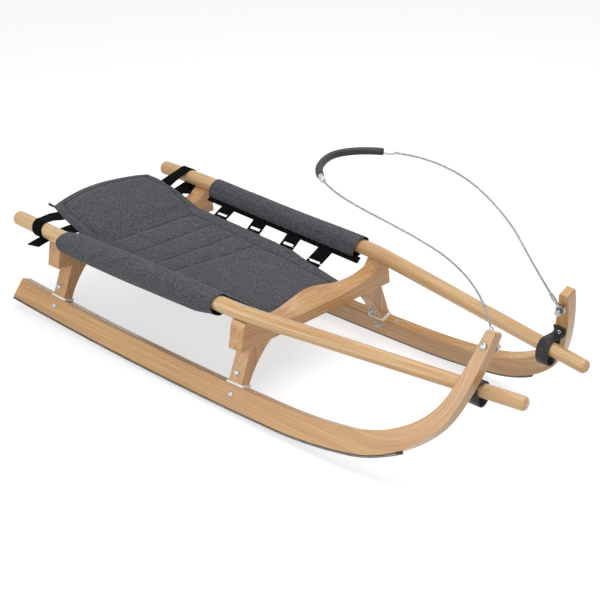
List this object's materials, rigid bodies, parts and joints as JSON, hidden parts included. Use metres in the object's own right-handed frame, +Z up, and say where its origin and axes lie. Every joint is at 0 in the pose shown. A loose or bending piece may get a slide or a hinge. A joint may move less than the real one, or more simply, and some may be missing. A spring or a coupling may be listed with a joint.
{
  "type": "wooden luge sled",
  "caption": "Wooden sports luge sled with bent horned runners, steel running rails, saddle yokes, quilted fabric seat and a steel pull cable with a rubber grip.",
  "frame": {"origin": "on the floor, under the middle of the length and width", "axes": "+X forward to the horns, +Y to the sled's left, +Z up"},
  "size_m": [1.1878, 0.4542, 0.4587],
  "materials": {
    "ash_wood": "satin varnished",
    "rod_wood": "satin varnished",
    "yoke_wood": "satin varnished",
    "dark_strip": "matte",
    "rail_steel": "bright worn",
    "white_pad": "matte",
    "seat_fabric": "woven melange",
    "webbing": "woven",
    "strap_leather": "satin",
    "zinc_hardware": "zinc plated",
    "ferrule_metal": "satin",
    "cable_steel": "galvanised",
    "grip_rubber": "matte"
  },
  "bodies": {
    "sled": {"runner_left": "ash_wood", "runner_right": "ash_wood", "sole_strip_left": "dark_strip", "sole_strip_right": "dark_strip", "steel_rail_left": "rail_steel", "steel_rail_right": "rail_steel", "side_rail_left": "rod_wood", "side_rail_right": "rod_wood", "seat_sleeve_left": "seat_fabric", "seat_sleeve_right": "seat_fabric", "rear_strap_left": "webbing", "rear_strap_right": "webbing", "horn_strap_left": "strap_leather", "horn_strap_right": "strap_leather", "horn_bolt_left": "zinc_hardware", "horn_bolt_right": "zinc_hardware", "front_leg_left": "yoke_wood", "front_leg_right": "yoke_wood", "rear_leg_left": "yoke_wood", "rear_leg_right": "yoke_wood", "front_foot_pad_left": "white_pad", "front_foot_pad_right": "white_pad", "rear_foot_pad_left": "white_pad", "rear_foot_pad_right": "white_pad", "front_crossbar": "yoke_wood", "rear_crossbar": "yoke_wood", "seat_pad": "seat_fabric", "seat_tabs": "webbing"},
    "pull_loop": {"pull_cable": "cable_steel", "grip_hose": "grip_rubber", "grip_ferrule_left": "ferrule_metal", "grip_ferrule_right": "ferrule_metal", "cable_eye_left": "zinc_hardware", "cable_eye_right": "zinc_hardware"}
  },
  "joints": [
    {"name": "pull_loop_swing", "type": "hinge", "parent": "sled", "child": "pull_loop", "pos_m": [0.527, 0, 0.26195], "axis": [0, 1, 0], "range_deg": [-30, 130]}
  ]
}
